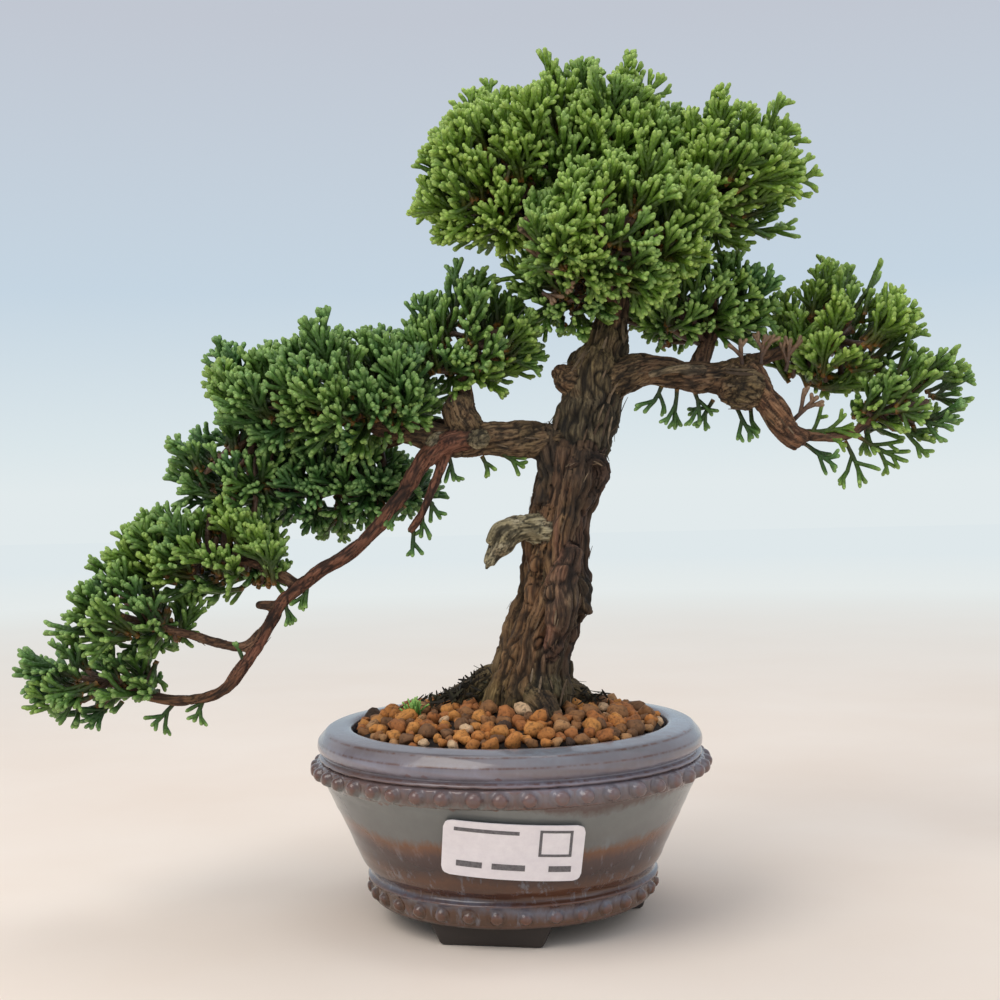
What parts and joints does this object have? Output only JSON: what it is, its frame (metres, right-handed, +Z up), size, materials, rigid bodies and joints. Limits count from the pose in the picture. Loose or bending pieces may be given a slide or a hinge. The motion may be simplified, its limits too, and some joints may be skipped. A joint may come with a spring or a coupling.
{
  "type": "potted juniper bonsai",
  "caption": "Small juniper bonsai with a leaning fluted trunk, a falling left branch and rounded foliage pads, in a round glazed pot with beaded bands and block feet.",
  "frame": {"origin": "centre of the whole object's bounding box in plan, at the underside of the pot's feet", "axes": "+Z up, +X towards the short right branch as seen from the front, -Y towards the viewer and the label; the pot's own axis stands 2.6 mm towards +X of the origin"},
  "size_m": [0.2596, 0.1094, 0.2334],
  "materials": {
    "glaze": "glossy mottled grey, mauve and rust glaze over dark stoneware",
    "bark": "dry fissured grey-brown bark",
    "foliage": "matte to satin green scale leaves",
    "clay_granules": "matte orange-brown fired clay",
    "label_paper": "satin white paper",
    "moss": "matte green"
  },
  "bodies": {
    "root": {"pot": "glaze", "trunk": "bark", "soil": "clay_granules", "granule_01": "clay_granules", "granule_02": "clay_granules", "granule_03": "clay_granules", "granule_04": "clay_granules", "granule_05": "clay_granules", "granule_06": "clay_granules", "granule_07": "clay_granules", "granule_08": "clay_granules", "granule_09": "clay_granules", "granule_10": "clay_granules", "granule_11": "clay_granules", "granule_12": "clay_granules", "granule_13": "clay_granules", "granule_14": "clay_granules", "granule_15": "clay_granules", "granule_16": "clay_granules", "granule_17": "clay_granules", "granule_18": "clay_granules", "granule_19": "clay_granules", "granule_20": "clay_granules", "granule_21": "clay_granules", "granule_22": "clay_granules", "granule_23": "clay_granules", "granule_24": "clay_granules", "granule_25": "clay_granules", "granule_26": "clay_granules", "granule_27": "clay_granules", "granule_28": "clay_granules", "granule_29": "clay_granules", "granule_30": "clay_granules", "granule_31": "clay_granules", "granule_32": "clay_granules", "moss_shoot": "moss", "foliage_crown_top": "foliage", "foliage_crown_left": "foliage", "foliage_crown_right": "foliage", "foliage_crown_front": "foliage", "foliage_crown_back": "foliage", "foliage_crown_low": "foliage", "foliage_right_inner": "foliage", "foliage_right_outer": "foliage", "foliage_right_tip": "foliage", "foliage_left_inner": "foliage", "foliage_left_main": "foliage", "foliage_left_back": "foliage", "foliage_left_outer": "foliage", "foliage_cascade_upper": "foliage", "foliage_cascade_mid": "foliage", "foliage_cascade_tip": "foliage", "label": "label_paper"}
  },
  "joints": []
}
